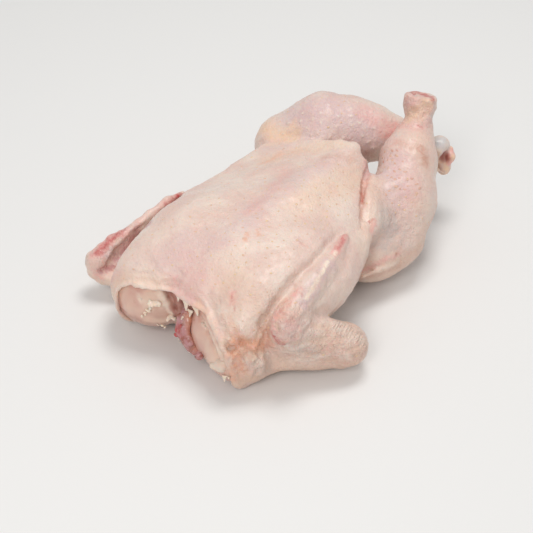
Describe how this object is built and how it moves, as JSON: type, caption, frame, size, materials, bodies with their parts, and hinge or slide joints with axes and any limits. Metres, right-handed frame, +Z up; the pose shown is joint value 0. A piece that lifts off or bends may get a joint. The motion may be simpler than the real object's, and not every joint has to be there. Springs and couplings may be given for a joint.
{
  "type": "whole raw chicken",
  "caption": "Whole raw oven-ready chicken lying on its back, wings folded at its sides and drumsticks crossed over the tail, with pale skin.",
  "frame": {"origin": "centre of the bounding box at the surface that the bird lies on", "axes": "+Z up, -Y towards the neck end, +Y towards the feet, +X towards the bird's right side"},
  "size_m": [0.2008, 0.2604, 0.0972],
  "materials": {
    "skin": "moist raw poultry skin, pale pinkish cream"
  },
  "bodies": {
    "root": {"chicken": "skin"}
  },
  "joints": []
}
